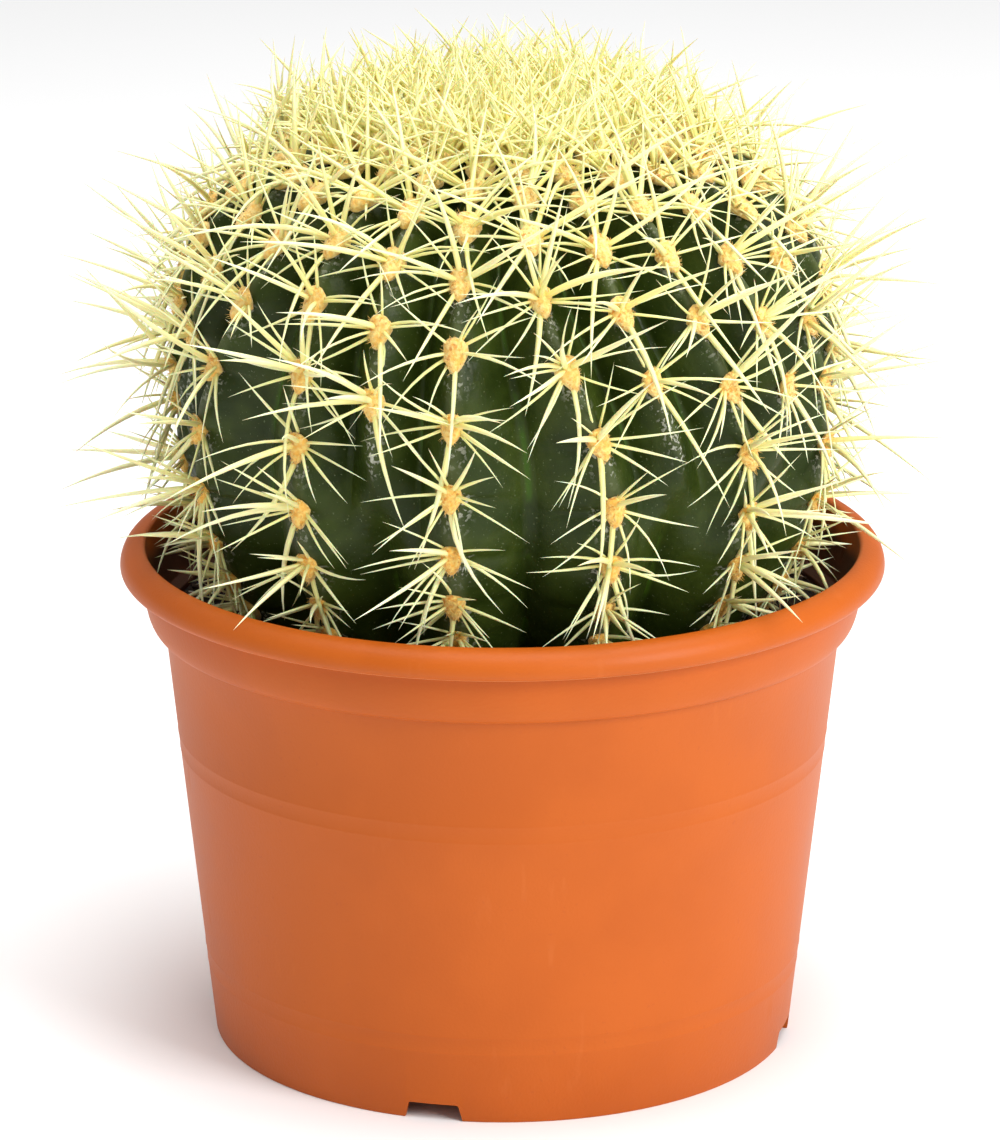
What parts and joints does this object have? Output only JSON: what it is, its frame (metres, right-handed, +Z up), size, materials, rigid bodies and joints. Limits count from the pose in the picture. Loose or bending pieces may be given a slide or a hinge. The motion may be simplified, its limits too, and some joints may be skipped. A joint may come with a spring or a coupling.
{
  "type": "potted round cactus",
  "caption": "Round ribbed cactus covered in pale yellow spines, growing in a tapered round plastic nursery pot with a rolled lip.",
  "frame": {"origin": "centre of the pot's foot, on the surface that it stands on", "axes": "+Z up along the pot's axis; -Y is the front of the plant, and +X is to the right seen from the front"},
  "size_m": [0.261, 0.261, 0.3123],
  "materials": {
    "terracotta_plastic": "orange terracotta injection-moulded polypropylene, satin, faintly mottled and scuffed",
    "potting_mix": "dark brown peat and grit, damp crumbs, fully matt",
    "cactus_skin": "dark green waxy living skin, satin to glossy, with pale scurf on the rib edges",
    "areole_felt": "short plant felt, orange-yellow on the areoles and cream on the crown, fully matt",
    "spines": "pale straw-yellow horny spines, satin, yellower at their bases"
  },
  "bodies": {
    "root": {"pot": "terracotta_plastic", "potting_mix": "potting_mix", "cactus_stem": "cactus_skin", "crown_wool": "areole_felt", "spine_row_01": "spines", "spine_row_02": "spines", "spine_row_03": "spines", "spine_row_04": "spines", "spine_row_05": "spines", "spine_row_06": "spines", "spine_row_07": "spines", "spine_row_08": "spines", "spine_row_09": "spines", "spine_row_10": "spines", "spine_row_11": "spines", "spine_row_12": "spines", "spine_row_13": "spines", "spine_row_14": "spines", "spine_row_15": "spines", "spine_row_16": "spines", "spine_row_17": "spines", "spine_row_18": "spines", "spine_row_19": "spines", "spine_row_20": "spines", "spine_row_21": "spines", "spine_row_22": "spines", "spine_row_23": "spines", "spine_row_24": "spines"}
  },
  "joints": []
}
